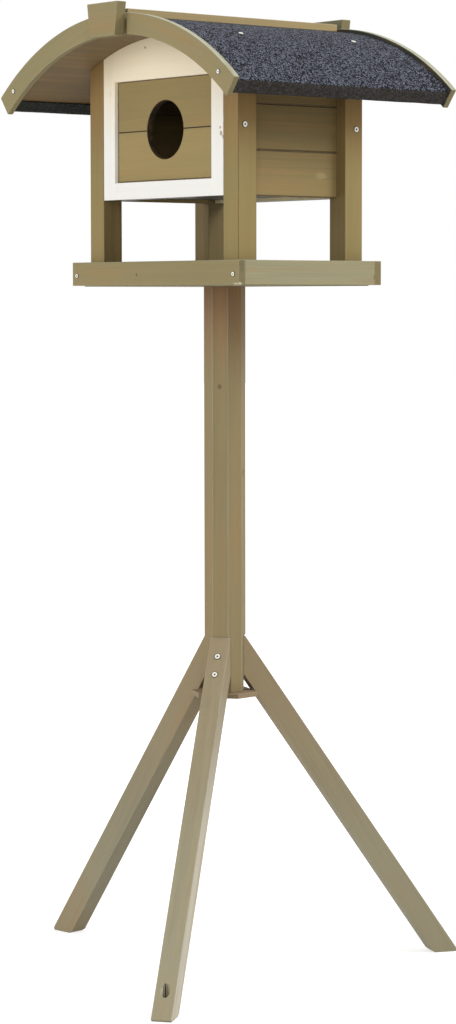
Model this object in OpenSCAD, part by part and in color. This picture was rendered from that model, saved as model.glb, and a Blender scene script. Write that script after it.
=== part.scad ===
// Bird feeder: a nest box over an open feeding tray, under a felted barrel
// roof, on an eight-sided post with three splayed legs.
// Millimetres. Z up, the front gable faces -Y, the origin is on the ground
// under the axis of the post.

/* [Stand] */
// Height of the underside of the tray floor above the ground
stand_h = 847; // [700:1:1020]
// Post width across its flat sides
post_w = 48; // [42:1:60]
// Height of the post's lower end above the ground
post_z = 346; // [280:1:420]
// Depth of the flat housings that take the legs
housing_d = 3.5; // [3:0.5:6]
// Height of the ledge at the top of the housings
ledge_z = 415; // [380:1:480]
// Slope of the legs from the vertical, in degrees
leg_slope = 34.4; // [28:0.1:40]
// Leg width
leg_w = 25; // [20:1:32]
// Leg depth, square to its slope
leg_d = 29; // [24:1:36]
// Turn of the front leg from the front, in degrees
leg_turn = 36.5; // [0:0.5:60]
// Diameter of the upright peg holes in the feet
peg_hole_d = 10; // [8:0.5:13]
// Distance of the peg holes in from the toes
peg_in = 22.5; // [12:0.5:28]
// Thickness of the plate between the legs
plate_t = 6; // [4:0.5:10]

/* [Tray] */
// Overhang of the tray past the corner posts at each side
tray_side_over = 18; // [14:0.5:60]
// Overhang of the tray past the corner posts at the front and back
tray_end_over = 15; // [12:0.5:60]
// Height of the rim boards
rim_h = 29; // [24:1:45]
// Thickness of the rim boards
rim_t = 10.5; // [8:0.5:16]
// Thickness of the tray floor
floor_t = 12; // [9:1:18]

/* [House] */
// Width over the corner posts
house_w = 289; // [240:1:350]
// Depth over the corner posts
house_d = 195; // [160:1:240]
// Thickness of the square corner posts
corner_w = 28; // [24:1:34]
// Height of the feeding gap above the tray floor
gap_h = 94; // [70:1:130]
// Height of the rail under the nest box
rail_h = 21; // [16:1:30]
// Width of the stiles of the gable frame
stile_w = 22.5; // [16:0.5:30]
// Thickness of the gable frame
frame_t = 18; // [16:1:22]
// Height of the framed boards
panel_h = 123; // [100:1:150]
// Thickness of the framed boards
panel_t = 9; // [6:0.5:12]
// Setback of the framed boards behind the frame
panel_back = 5; // [3:0.5:7]
// Diameter of the entrance hole
hole_d = 70; // [28:1:80]
// Height of one side board
side_board_h = 54.5; // [45:0.5:60]
// Thickness of the side boards
side_t = 13; // [9:1:15]
// Thickness of the nest floor
nest_floor_t = 9; // [6:1:15]

/* [Roof] */
// Radius of the underside of the roof
soffit_r = 320; // [290:1:400]
// Height of the crown's underside above the framed boards
crown_rise = 51; // [35:1:80]
// Thickness of the curved roof deck
deck_t = 15; // [9:1:20]
// Roof length, front to back, between the fascias
roof_len = 331; // [280:1:380]
// Half of the roof's arc, in degrees
roof_half = 42.1; // [38:0.1:46]
// Thickness of the roofing felt
felt_t = 2.5; // [2:0.5:4]
// Width of the felt turned under the eaves, measured level
felt_turn = 26; // [16:1:36]
// Lean of the eaves and the fascia ends from the vertical, in degrees
end_lean = 36; // [20:1:42]
// Setback of the felted eaves from the fascia ends
eave_back = 1.5; // [0.5:0.5:6]
// Depth of the fascia boards
fascia_w = 25.5; // [22:0.5:34]
// Thickness of the fascia boards
fascia_t = 8; // [6:0.5:15]
// Height of the keystones
key_h = 40; // [30:1:50]
// Width of the keystones at the top
key_w = 59; // [44:0.5:70]
// Thickness of the keystones
key_t = 14; // [9:0.5:18]
// Offset of the back keystone from the ridge line, to the left
back_key_shift = 7; // [0:0.5:12]
// Width of the ridge lath
lath_w = 44; // [30:1:60]
// Thickness of the ridge lath
lath_t = 9; // [6:0.5:12]

/* [Hidden] */
$fn = 96;
eps = 0.01;
big = 2000;
groove = 1;
screw_d = 8;
small_screw_d = 6;
screw_t = 0.8;
recess_d = 4;

// The stand
leg_angles = [leg_turn, leg_turn + 120, leg_turn - 120];
housing_r = post_w / 2 - housing_d;
leg_run = tan(leg_slope);
leg_span = leg_d / cos(leg_slope);
toe_r = post_w / 2 + (ledge_z - 2) * leg_run;
foot_cut = 3;
peg_r = toe_r - peg_in;
plate_in = toe_r - post_z * leg_run - leg_span - 0.6;
plate_out = plate_in + 5;

// The tray
tray_w = house_w + 2 * tray_side_over;
tray_d = house_d + 2 * tray_end_over;
tray_floor_top = stand_h + floor_t;
rim_z = stand_h + 1;

// The house
box_z = tray_floor_top + gap_h;
panel_z = box_z + rail_h;
corner_x = house_w / 2 - corner_w / 2;
corner_y = house_d / 2 - corner_w / 2;
inner_w = house_w - 2 * corner_w;
inner_d = house_d - 2 * corner_w;
opening_w = inner_w - 2 * stile_w;
hole_z = panel_z + panel_h / 2;
side_x = inner_w / 2;
nest_floor_z = box_z + 4.5;

// The roof
crown_z = panel_z + panel_h + crown_rise;
roof_z = crown_z - soffit_r;
deck_r = soffit_r + deck_t;
felt_r = deck_r + felt_t;
felt_under_r = soffit_r - felt_t;
fascia_in_r = soffit_r - 3.5;
fascia_out_r = fascia_in_r + fascia_w;
end_x = fascia_out_r * sin(roof_half);
end_y = fascia_out_r * cos(roof_half);
deck_back = eave_back + felt_t / cos(end_lean);
turn_back = eave_back + felt_turn;
long_end = 21;
short_end = 29.5;
key_z = roof_z + fascia_in_r - 3;
key_foot_w = key_w - 11;
fascia_screw_a = 37.6;
fascia_mid_r = (fascia_in_r + fascia_out_r) / 2;

// ---- shapes shared by several pieces ----

// Everything below the underside of the roof, as a long bar along Y
module under_roof() {
    translate([0, 0, roof_z])
        rotate([90, 0, 0])
            cylinder(r = soffit_r, h = big, center = true, $fn = 180);
}

// A block standing on z, cut to the underside of the roof
module roofed_block(x0, x1, y0, y1, z) {
    intersection() {
        translate([x0, y0, z])
            cube([x1 - x0, y1 - y0, crown_z - z + 1]);
        under_roof();
    }
}

// The width of the roof between its sloping ends, each set back by some way
module between_ends(back) {
    top = 2 * fascia_out_r;
    foot = end_y / 2;
    top_x = end_x - back + (top - end_y) * tan(end_lean);
    foot_x = end_x - back + (foot - end_y) * tan(end_lean);
    polygon([[-foot_x, foot], [foot_x, foot], [top_x, top], [-top_x, top]]);
}

// A ring between two radii, cut off at the roof's sloping ends
module arc(r0, r1, back) {
    intersection() {
        difference() {
            circle(r = r1, $fn = 180);
            circle(r = r0, $fn = 180);
        }
        between_ends(back);
    }
}

// A flat shape in XZ about the roof's centre, drawn out along Y
module along_y(length) {
    translate([0, 0, roof_z])
        rotate([90, 0, 0])
            linear_extrude(height = length, center = true)
                children();
}

// Turns a piece of the front round to the back
module to_back() {
    rotate([0, 0, 180])
        children();
}

// Places a shape drawn in the plane of one leg, with r as X
module at_leg(a) {
    rotate([0, 0, a - 90])
        children();
}

// ---- the stand ----

module main_post() {
    color("#8b7b58")
        difference() {
            translate([0, 0, post_z])
                rotate([0, 0, leg_turn + 22.5 - 90])
                    cylinder(d = post_w / cos(22.5), h = stand_h - post_z, $fn = 8);
            for (a = leg_angles)
                at_leg(a)
                    translate([housing_r, -post_w, post_z - 1])
                        cube([post_w, 2 * post_w, ledge_z - post_z + 1]);
        }
}

module leg(a) {
    color("#94855f")
        at_leg(a)
            difference() {
                rotate([90, 0, 0])
                    linear_extrude(height = leg_w, center = true)
                        polygon([
                            [housing_r, ledge_z],
                            [toe_r - ledge_z * leg_run, ledge_z],
                            [toe_r - foot_cut * leg_run, foot_cut],
                            [toe_r - foot_cut, 0],
                            [toe_r - leg_span + foot_cut, 0],
                            [toe_r - leg_span - foot_cut * leg_run, foot_cut],
                            [housing_r, (toe_r - leg_span - housing_r) / leg_run]
                        ]);
                translate([peg_r, 0, -1])
                    cylinder(d = peg_hole_d, h = 80);
            }
}

module front_leg() {
    leg(leg_angles[0]);
}

module right_leg() {
    leg(leg_angles[1]);
}

module left_leg() {
    leg(leg_angles[2]);
}

module leg_plate() {
    color("#6d6148")
        translate([0, 0, post_z - plate_t])
            linear_extrude(height = plate_t)
                intersection() {
                    rotate([0, 0, leg_turn - 90 + 60])
                        circle(r = 2 * plate_in, $fn = 3);
                    rotate([0, 0, leg_turn - 90])
                        circle(r = 2 * plate_out, $fn = 3);
                }
}

// ---- the tray ----

module tray_floor() {
    color("#7d7053")
        translate([rim_t - tray_w / 2, rim_t - tray_d / 2, stand_h])
            cube([tray_w - 2 * rim_t, tray_d - 2 * rim_t, floor_t]);
}

// Front board, laid over the ends of the side boards
module end_rim() {
    color("#8b7f5b")
        translate([-tray_w / 2, -tray_d / 2, rim_z])
            cube([tray_w, rim_t, rim_h]);
}

module side_rim() {
    color("#7f7250")
        translate([tray_w / 2 - rim_t, rim_t - tray_d / 2, rim_z])
            cube([rim_t, tray_d - 2 * rim_t, rim_h]);
}

module tray_rim_front() {
    end_rim();
}

module tray_rim_back() {
    to_back() end_rim();
}

module tray_rim_right() {
    side_rim();
}

module tray_rim_left() {
    to_back() side_rim();
}

// ---- the house ----

module corner_post(sx, sy) {
    cx = sx * corner_x;
    cy = sy * corner_y;
    half = corner_w / 2;
    color("#8c7d55")
        roofed_block(cx - half, cx + half, cy - half, cy + half, tray_floor_top);
}

module corner_post_front_left() {
    corner_post(-1, -1);
}

module corner_post_front_right() {
    corner_post(1, -1);
}

module corner_post_back_left() {
    corner_post(-1, 1);
}

module corner_post_back_right() {
    corner_post(1, 1);
}

module stile(side) {
    x0 = side > 0 ? opening_w / 2 : -inner_w / 2;
    color("#efe8d8")
        roofed_block(x0, x0 + stile_w, -house_d / 2, frame_t - house_d / 2, box_z);
}

module rail() {
    color("#efe8d8")
        translate([-opening_w / 2, -house_d / 2, box_z])
            cube([opening_w, frame_t, rail_h]);
}

module spandrel() {
    color("#efe2c8")
        roofed_block(-opening_w / 2, opening_w / 2, -house_d / 2, frame_t - house_d / 2, panel_z + panel_h);
}

// One of the two boards inside the frame, 0 below and 1 above
module panel_board(level, holed) {
    z0 = panel_z + level * panel_h / 2;
    color("#7d6f46")
        difference() {
            translate([-opening_w / 2, panel_back - house_d / 2, z0])
                cube([opening_w, panel_t, panel_h / 2]);
            if (holed)
                translate([0, -house_d / 2, hole_z])
                    rotate([90, 0, 0])
                        cylinder(d = hole_d, h = 4 * panel_t, center = true);
        }
}

module front_stile_left() {
    stile(-1);
}

module front_stile_right() {
    stile(1);
}

module front_rail() {
    rail();
}

module front_spandrel() {
    spandrel();
}

module front_lower_board() {
    panel_board(0, true);
}

module front_upper_board() {
    panel_board(1, true);
}

module back_stile_left() {
    to_back() stile(1);
}

module back_stile_right() {
    to_back() stile(-1);
}

module back_rail() {
    to_back() rail();
}

module back_spandrel() {
    to_back() spandrel();
}

module back_lower_board() {
    to_back() panel_board(0, false);
}

module back_upper_board() {
    to_back() panel_board(1, false);
}

// A right-hand side board with small bevels along its outer edges
module side_board(level) {
    z0 = box_z + level * side_board_h;
    color("#7a6a45")
        difference() {
            if (level < 2)
                translate([side_x, -inner_d / 2, z0])
                    cube([side_t, inner_d, side_board_h]);
            else
                roofed_block(side_x, side_x + side_t, -inner_d / 2, inner_d / 2, z0);
            for (z = [z0, z0 + side_board_h])
                if (level < 2 || z == z0)
                    translate([side_x + side_t, 0, z])
                        rotate([0, 45, 0])
                            cube([groove * sqrt(2), big, groove * sqrt(2)], center = true);
        }
}

module right_side_board_lower() {
    side_board(0);
}

module right_side_board_middle() {
    side_board(1);
}

module right_side_board_upper() {
    side_board(2);
}

module left_side_board_lower() {
    to_back() side_board(0);
}

module left_side_board_middle() {
    to_back() side_board(1);
}

module left_side_board_upper() {
    to_back() side_board(2);
}

module nest_floor() {
    depth = house_d - 2 * frame_t;
    color("#5f5440")
        translate([-inner_w / 2, -depth / 2, nest_floor_z])
            cube([inner_w, depth, nest_floor_t]);
}

// ---- the roof ----

module roof_deck() {
    color("#6b5f45")
        along_y(roof_len)
            arc(soffit_r, deck_r, deck_back);
}

// The felt lies over the deck, round both eaves and a little way under them
module roof_felt() {
    color("#3a4152")
        along_y(roof_len)
            difference() {
                arc(felt_under_r, felt_r, eave_back);
                arc(soffit_r, deck_r, deck_back);
                arc(felt_under_r - 5, soffit_r + eps, turn_back);
            }
}

// The front fascia from x0 out to the end on the given side
module fascia(side, x0) {
    y0 = -roof_len / 2 - fascia_t;
    color("#857749")
        translate([0, y0 + fascia_t / 2, 0])
            along_y(fascia_t)
                scale([side, 1])
                    difference() {
                        arc(fascia_in_r, fascia_out_r, 0);
                        translate([-big + x0, 0])
                            square([big, big]);
                    }
}

module front_fascia_left() {
    fascia(-1, -long_end);
}

module front_fascia_right() {
    fascia(1, short_end);
}

module back_fascia_left() {
    to_back() fascia(1, short_end);
}

module back_fascia_right() {
    to_back() fascia(-1, -long_end);
}

module keystone() {
    color("#8a7c52")
        translate([0, -roof_len / 2 - fascia_t, key_z])
            rotate([90, 0, 0])
                linear_extrude(height = key_t)
                    polygon([
                        [-key_foot_w / 2, 0],
                        [key_foot_w / 2, 0],
                        [key_w / 2, key_h],
                        [-key_w / 2, key_h]
                    ]);
}

module front_keystone() {
    keystone();
}

module back_keystone() {
    to_back()
        translate([back_key_shift, 0, 0])
            keystone();
}

module ridge_lath() {
    color("#b09a6c")
        translate([-lath_w / 2, -roof_len / 2, roof_z + felt_r])
            cube([lath_w, roof_len, lath_t]);
}

// ---- the screws ----

// A screw head lying on z = 0 and facing +Z, with its cross recess
module screw_head(d) {
    difference() {
        cylinder(d = d, h = screw_t, $fn = 24);
        for (a = [0, 90])
            rotate([0, 0, a + 20])
                translate([-recess_d / 2, -0.5, screw_t / 2])
                    cube([recess_d, 1, screw_t]);
    }
}

// Two screws on the outer face of each leg
module leg_screws() {
    color("#d9d4c6")
        for (a = leg_angles, down = [25, 50])
            at_leg(a)
                translate([post_w / 2 + down * sin(leg_slope), 0, ledge_z - 2 - down * cos(leg_slope)])
                    rotate([0, 90 - leg_slope, 0])
                        screw_head(screw_d);
}

// Two screws through each end board of the tray into the side boards
module tray_screws() {
    color("#d9d4c6")
        for (turn = [0, 180], x = [-1, 1])
            rotate([0, 0, turn])
                translate([x * (tray_w / 2 - 9.5), -tray_d / 2, rim_z + rim_h * 0.43])
                    rotate([90, 0, 0])
                        screw_head(small_screw_d);
}

// One screw in the side of each corner post and one at each fascia end
module house_screws() {
    color("#d9d4c6")
        for (turn = [0, 180], side = [-1, 1])
            rotate([0, 0, turn]) {
                translate([house_w / 2, side * (house_d / 2 - 10), hole_z])
                    rotate([0, 90, 0])
                        screw_head(screw_d);
                translate([
                    side * fascia_mid_r * sin(fascia_screw_a),
                    -roof_len / 2 - fascia_t,
                    roof_z + fascia_mid_r * cos(fascia_screw_a)
                ])
                    rotate([90, 0, 0])
                        screw_head(small_screw_d);
            }
}

main_post();
front_leg();
right_leg();
left_leg();
leg_plate();
tray_floor();
tray_rim_front();
tray_rim_back();
tray_rim_left();
tray_rim_right();
corner_post_front_left();
corner_post_front_right();
corner_post_back_left();
corner_post_back_right();
front_stile_left();
front_stile_right();
front_rail();
front_spandrel();
front_lower_board();
front_upper_board();
back_stile_left();
back_stile_right();
back_rail();
back_spandrel();
back_lower_board();
back_upper_board();
left_side_board_lower();
left_side_board_middle();
left_side_board_upper();
right_side_board_lower();
right_side_board_middle();
right_side_board_upper();
nest_floor();
roof_deck();
roof_felt();
front_fascia_left();
front_fascia_right();
back_fascia_left();
back_fascia_right();
front_keystone();
back_keystone();
ridge_lath();
leg_screws();
tray_screws();
house_screws();
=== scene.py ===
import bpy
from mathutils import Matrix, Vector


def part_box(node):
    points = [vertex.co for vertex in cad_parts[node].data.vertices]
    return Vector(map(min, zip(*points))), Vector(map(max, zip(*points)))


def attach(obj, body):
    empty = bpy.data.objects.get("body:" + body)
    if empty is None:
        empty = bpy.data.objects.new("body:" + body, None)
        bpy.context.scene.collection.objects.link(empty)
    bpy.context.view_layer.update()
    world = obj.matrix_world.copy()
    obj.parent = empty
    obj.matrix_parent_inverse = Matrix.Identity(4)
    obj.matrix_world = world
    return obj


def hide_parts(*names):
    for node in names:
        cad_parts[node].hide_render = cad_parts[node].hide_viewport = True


bl_info = {
    "name": "Bird Feeder",
    "version": (1, 0, 0),
    "blender": (4, 5, 0),
    "location": "View3D > Sidebar > Bird Feeder",
    "description": "Finishes a wooden bird feeder with stained timber, paint, roofing felt and screws",
    "category": "Object",
}

import math
import random

import bpy
from bpy.props import FloatProperty, FloatVectorProperty, PointerProperty
from bpy.types import Operator, Panel, PropertyGroup
from mathutils import Matrix, Vector

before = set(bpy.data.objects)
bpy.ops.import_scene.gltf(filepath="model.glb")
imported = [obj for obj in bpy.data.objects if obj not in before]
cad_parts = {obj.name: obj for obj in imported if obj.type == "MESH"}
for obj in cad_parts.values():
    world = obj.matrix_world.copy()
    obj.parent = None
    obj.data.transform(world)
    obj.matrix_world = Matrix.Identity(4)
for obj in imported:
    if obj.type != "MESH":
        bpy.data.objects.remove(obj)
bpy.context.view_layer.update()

BODY = "root"
MM = 0.001
UP = Vector((0, 0, 1))
LEGS = ("front_leg", "right_leg", "left_leg")
ENDS = ("front", "back")
HANDS = ("left", "right")
NAIL_PLACES = ((120, -73), (120, 105), (-120, 73), (-120, -105))  # across and along the roof, in mm
LAMPS = (  # name, place, aim, width and power in watts
    ("Lamp from the back right", (2.2, 1.6, 2.6), (0, 0, 0.7), 1.6, 54),
    ("Lamp from the front left", (-1.2, -3.0, 1.25), (0, 0, 0.95), 1.8, 36),
    ("Lamp beside the camera", (2.4, -2.0, 1.4), (0, 0, 0.6), 1.6, 25),
    ("Lamp from above", (0.2, 0.2, 3.6), (0, 0, 1), 2.0, 16),
)


def tint(red, green, blue):
    """A colour given in display steps from 0 to 255, as the linear values that materials use."""
    def linear(step):
        share = step / 255
        return share / 12.92 if share <= 0.04045 else ((share + 0.055) / 1.055) ** 2.4
    return (linear(red), linear(green), linear(blue))


def colour(name, description, steps):
    return FloatVectorProperty(
        name=name, description=description, subtype="COLOR", size=3, min=0, max=1, default=tint(*steps))


def length(name, description, millimetres):
    return FloatProperty(
        name=name, description=description, subtype="DISTANCE", unit="LENGTH", default=millimetres * MM)


def angle(name, description, degrees):
    return FloatProperty(
        name=name, description=description, subtype="ANGLE", unit="ROTATION", default=math.radians(degrees))


# ---- settings ----

class FeederTimber(PropertyGroup):
    """Stains and edges of the timber, with painted shade for the nest floor."""
    post_stain: colour("Post stain", "Stain of the octagonal post", (141, 126, 90))
    leg_stain: colour("Leg stain", "Stain of the three legs", (149, 141, 114))
    plate_stain: colour("Plate stain", "Stain of the plate between the legs", (146, 126, 98))
    tray_stain: colour("Tray stain", "Stain of the tray's floor and long boards", (141, 128, 88))
    cross_rim_stain: colour("Cross rim stain", "Stain of the tray's two short boards", (150, 144, 112))
    corner_stain: colour("Corner post stain", "Stain of the four corner posts", (142, 125, 78))
    gable_stain: colour("Gable stain", "Stain of the boards of the gables", (154, 135, 87))
    side_stain: colour("Side stain", "Stain of the boards of the sides", (140, 122, 78))
    # The nest floor's dark tone is painted shade: only its shaded underside shows.
    nest_floor_shade: colour("Nest floor stain", "Dark timber of the nest floor", (44, 37, 26))
    roof_stain: colour("Roof trim stain", "Stain of the fascias and keystones", (142, 130, 91))
    soffit_stain: colour("Soffit stain", "Stain of the underside of the roof", (119, 100, 69))
    lath_stain: colour("Lath stain", "Stain of the ridge lath", (168, 148, 104))
    bleach: colour("Bleached timber", "Colour that upward faces fade to", (186, 190, 170))
    warm_streaks: colour("Warm streaks", "Reddish streaks where the stain is thin", (146, 112, 68))
    edge_round: length("Edge rounding", "Rounding of the edges of the boards", 0.8)
    leg_round: length("Leg edge rounding", "Rounding of the edges of the legs", 1.3)
    plate_round: length("Plate edge rounding", "Rounding of the edges of the plate", 0.5)
    side_round: length("Side edge rounding", "Rounding of the edges of the side boards", 0.4)


class FeederTones(PropertyGroup):
    """Tones that age and wear give to parts of the timber, and painted shade and painted light on others."""
    # Post head: partly a browner stain, partly painted shade under the tray.
    post_head_shade: colour("Post head", "Browner head of the post", (134, 104, 72))
    # Leg top: partly a warmer stain higher up; the paler, greyer feet are painted light bounced from the
    # floor.
    leg_top: colour("Leg top", "Warmer upper parts of the legs", (146, 129, 98))
    # Leg flank: a painted highlight where the lamp falls on the front leg's flank near the ground.
    lit_leg_flank: colour("Leg flank", "Pale flank of the front leg near the ground", (206, 199, 180))
    # Corner post head and inside: painted shade under the eaves and on the inward faces.
    corner_head_shade: colour("Corner post head", "Heads of the corner posts", (140, 112, 66))
    corner_inside_shade: colour("Corner post inside", "Inward faces of the corner posts", (114, 98, 60))
    corner_edge: colour("Corner post edge", "Edges of the corner posts", (116, 96, 58))
    gable_top: colour("Gable top", "Upper boards of the gables", (144, 126, 80))
    # Gable inside: painted shade on the inward faces of the gable boards.
    gable_inside_shade: colour("Gable inside", "Inward faces of the gable boards", (110, 92, 60))
    gable_joint: colour("Gable joint", "Dark joint between the gable boards", (58, 43, 24))
    # Hole wall: painted shade inside the entrance hole.
    shaded_hole_wall: colour("Hole wall", "Wall of the entrance hole", (32, 26, 16))
    side_top: colour("Side top", "Shaded upper boards of the sides", (112, 95, 58))
    side_joint: colour("Side joint", "Dark joints between the side boards", (60, 45, 24))
    # Fascia inside: painted shade on the inward faces of the fascias.
    fascia_inside_shade: colour("Fascia inside", "Inward faces of the fascias", (50, 51, 42))
    # Keystone inside: painted shade on the inward faces of the keystones.
    keystone_inside_shade: colour("Keystone inside", "Inward faces of the keystones", (106, 104, 80))


class FeederPaint(PropertyGroup):
    """Paint of the gable frames."""
    lower: colour("Lower paint", "Paint at the foot of the frame", (246, 244, 238))
    # Upper paint: partly a creamier paint, partly painted shade and warm light bounced from the roof.
    upper: colour("Upper paint", "Paint at the head of the frame", (252, 237, 204))
    # Bare timber: unpainted inward faces, made paler than the timber as painted light on faces that stand in
    # shade.
    bare: colour("Bare timber", "Unpainted timber on the inward faces of the frames", (240, 224, 180))
    chip: colour("Chips", "Primer that shows where the paint is chipped", (150, 112, 82))
    # Underside: painted shade under the bottom rails.
    underside: colour("Underside", "Dirty underside of the bottom rails", (58, 48, 32))
    edge_round: length("Edge rounding", "Rounding of the painted edges", 0.7)


class FeederRoof(PropertyGroup):
    """Shape and colours of the roofing felt."""
    felt_radius: length("Felt radius", "Radius of the outside of the felt", 337.5)
    turn_radius: length("Turn radius", "Radius of the underside of the turned felt", 317.5)
    felt_thickness: length("Felt thickness", "Thickness of the felt", 2.5)
    turn_width: length("Turn width", "Width of the felt turned under the eaves", 26)
    eave_lean: angle("Eave lean", "Lean of the eaves from the vertical", 36)
    fold_reach: length("Fold reach", "Reach of the rounded folds at the eaves", 2.6)
    wave_depth: length("Wave depth", "Depth of the gentle waves in the felt", 0.7)
    wave_length: length("Wave length", "Length of the gentle waves in the felt", 35)
    granule_size: length("Granule size", "Width of the mineral granules", 1.5)
    granule_pale: colour("Pale granules", "Colour of the pale mineral granules", (168, 174, 194))
    granule_dark: colour("Dark granules", "Colour of the dark mineral granules", (20, 23, 32))
    underside: colour("Underside", "Smooth felt on the underside of the eaves", (37, 38, 33))
    # Darker, browner felt on the faces turned down at the eaves.
    eave_turn_tone: colour("Eave dust", "Brown dust on the felt turned down at the eaves", (52, 47, 40))
    bitumen: colour("Bitumen", "Colour of the bitumen between the granules", (20, 21, 25))


class FeederFixings(PropertyGroup):
    """Screws and nails."""
    screw_radius: length("Screw radius", "Radius of a screw head", 4)
    screw_height: length("Screw height", "Height of a screw head", 0.8)
    nail_radius: length("Nail radius", "Radius of a clout nail's head", 2.9)
    coating: colour("Coating", "Pale coating of the screw heads", (246, 243, 232))
    coating_scuff: colour("Scuffed coating", "Scuffs on the coating", (150, 140, 118))
    # Steel: dark steel in the recesses, with painted shade there and a painted shadow round each head's rim.
    steel_and_shade: colour("Steel", "Dark steel in the recesses", (58, 52, 46))
    steel_scuff: colour("Scuffed steel", "Scuffs on the dark steel", (30, 27, 24))


class FeederStage(PropertyGroup):
    """Camera, lamps and floor."""
    camera_place: FloatVectorProperty(
        name="Camera place", description="Where the camera stands", subtype="TRANSLATION",
        unit="LENGTH", size=3, default=(2.7896, -2.2888, 0.8291))
    camera_heading: angle("Camera heading", "Turn of the camera from the +Y direction", 50.571)
    camera_tilt: angle("Camera tilt", "Tilt of the camera above the horizon", -4.136)
    camera_roll: angle("Camera roll", "Roll of the camera about its view", -0.074)
    camera_lens: FloatProperty(
        name="Camera lens", description="Focal length in millimetres on a 36 mm sensor", default=102.64)
    sky: FloatProperty(name="Sky", description="Strength of the even light all round", default=0.45)
    floor_size: length("Floor size", "Width of the floor", 40000)


# ---- building helpers ----

def pick(*pieces):
    """Selects these pieces alone and makes the first one active."""
    bpy.ops.object.select_all(action="DESELECT")
    for piece in pieces:
        piece.select_set(True)
    bpy.context.view_layer.objects.active = pieces[0]


def choose_faces(piece, test):
    """Opens a piece in edit mode with the faces selected whose centre and normal pass the test."""
    bpy.ops.object.mode_set(mode="OBJECT")
    pick(piece)
    bpy.context.tool_settings.mesh_select_mode = (False, False, True)
    bpy.ops.object.mode_set(mode="EDIT")
    bpy.ops.mesh.select_all(action="DESELECT")
    bpy.ops.object.mode_set(mode="OBJECT")
    found = 0
    for face in piece.data.polygons:
        face.select = bool(test(face.center, face.normal))
        found += face.select
    if not found:
        raise RuntimeError(f"{piece.name}: no face was found to shape")
    bpy.ops.object.mode_set(mode="EDIT")


def apply_modifier(piece, kind, name, **settings):
    """Adds a modifier to a piece and applies it at once."""
    modifier = piece.modifiers.new(name, kind)
    for key, value in settings.items():
        setattr(modifier, key, value)
    pick(piece)
    bpy.ops.object.modifier_apply(modifier=modifier.name)


def copy_of(node, name):
    """A copy of a CAD node as one clean mesh, with its loose triangles joined into whole faces."""
    piece = bpy.data.objects.new(name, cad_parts[node].data.copy())
    bpy.context.scene.collection.objects.link(piece)
    piece.data.materials.clear()
    pick(piece)
    if piece.data.has_custom_normals:
        bpy.ops.mesh.customdata_custom_splitnormals_clear()
    bpy.ops.object.mode_set(mode="EDIT")
    bpy.ops.mesh.select_all(action="SELECT")
    bpy.ops.mesh.remove_doubles(threshold=0.01 * MM)
    bpy.ops.mesh.dissolve_limited(angle_limit=math.radians(0.3))
    bpy.ops.object.mode_set(mode="OBJECT")
    return piece


def round_edges(piece, width):
    """Rounds the sharp edges, and notes on each face whether it is one of the rounded strips."""
    sharp = math.radians(25)
    pick(piece)
    bpy.ops.object.shade_smooth_by_angle(angle=sharp)
    for _ in range(2):
        piece.data.materials.append(None)
    apply_modifier(
        piece, "BEVEL", "Rounded edges", width=width, segments=2, limit_method="ANGLE",
        angle_limit=sharp, use_clamp_overlap=False, harden_normals=True, material=1)
    faces = piece.data.polygons
    rounded = [float(face.material_index == 1) for face in faces]
    piece.data.attributes.new("edge", "FLOAT", "FACE").data.foreach_set("value", rounded)
    faces.foreach_set("material_index", [0] * len(faces))
    piece.data.materials.clear()


def finish_piece(piece, material, slot, *nodes):
    """Gives a piece its material, fixes it to the body and hides the CAD nodes that it stands for."""
    if material is not None:
        piece.data.materials.clear()
        piece.data.materials.append(material)
    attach(piece, BODY)
    if nodes:
        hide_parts(*nodes)
    return piece


def dress(node, ending, material, slot, edge):
    """Replaces one CAD board with a copy of the same shape that has rounded edges."""
    piece = copy_of(node, f"{node}_{ending}")
    round_edges(piece, edge)
    return finish_piece(piece, material, slot, node)


# ---- shader helpers ----

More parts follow.
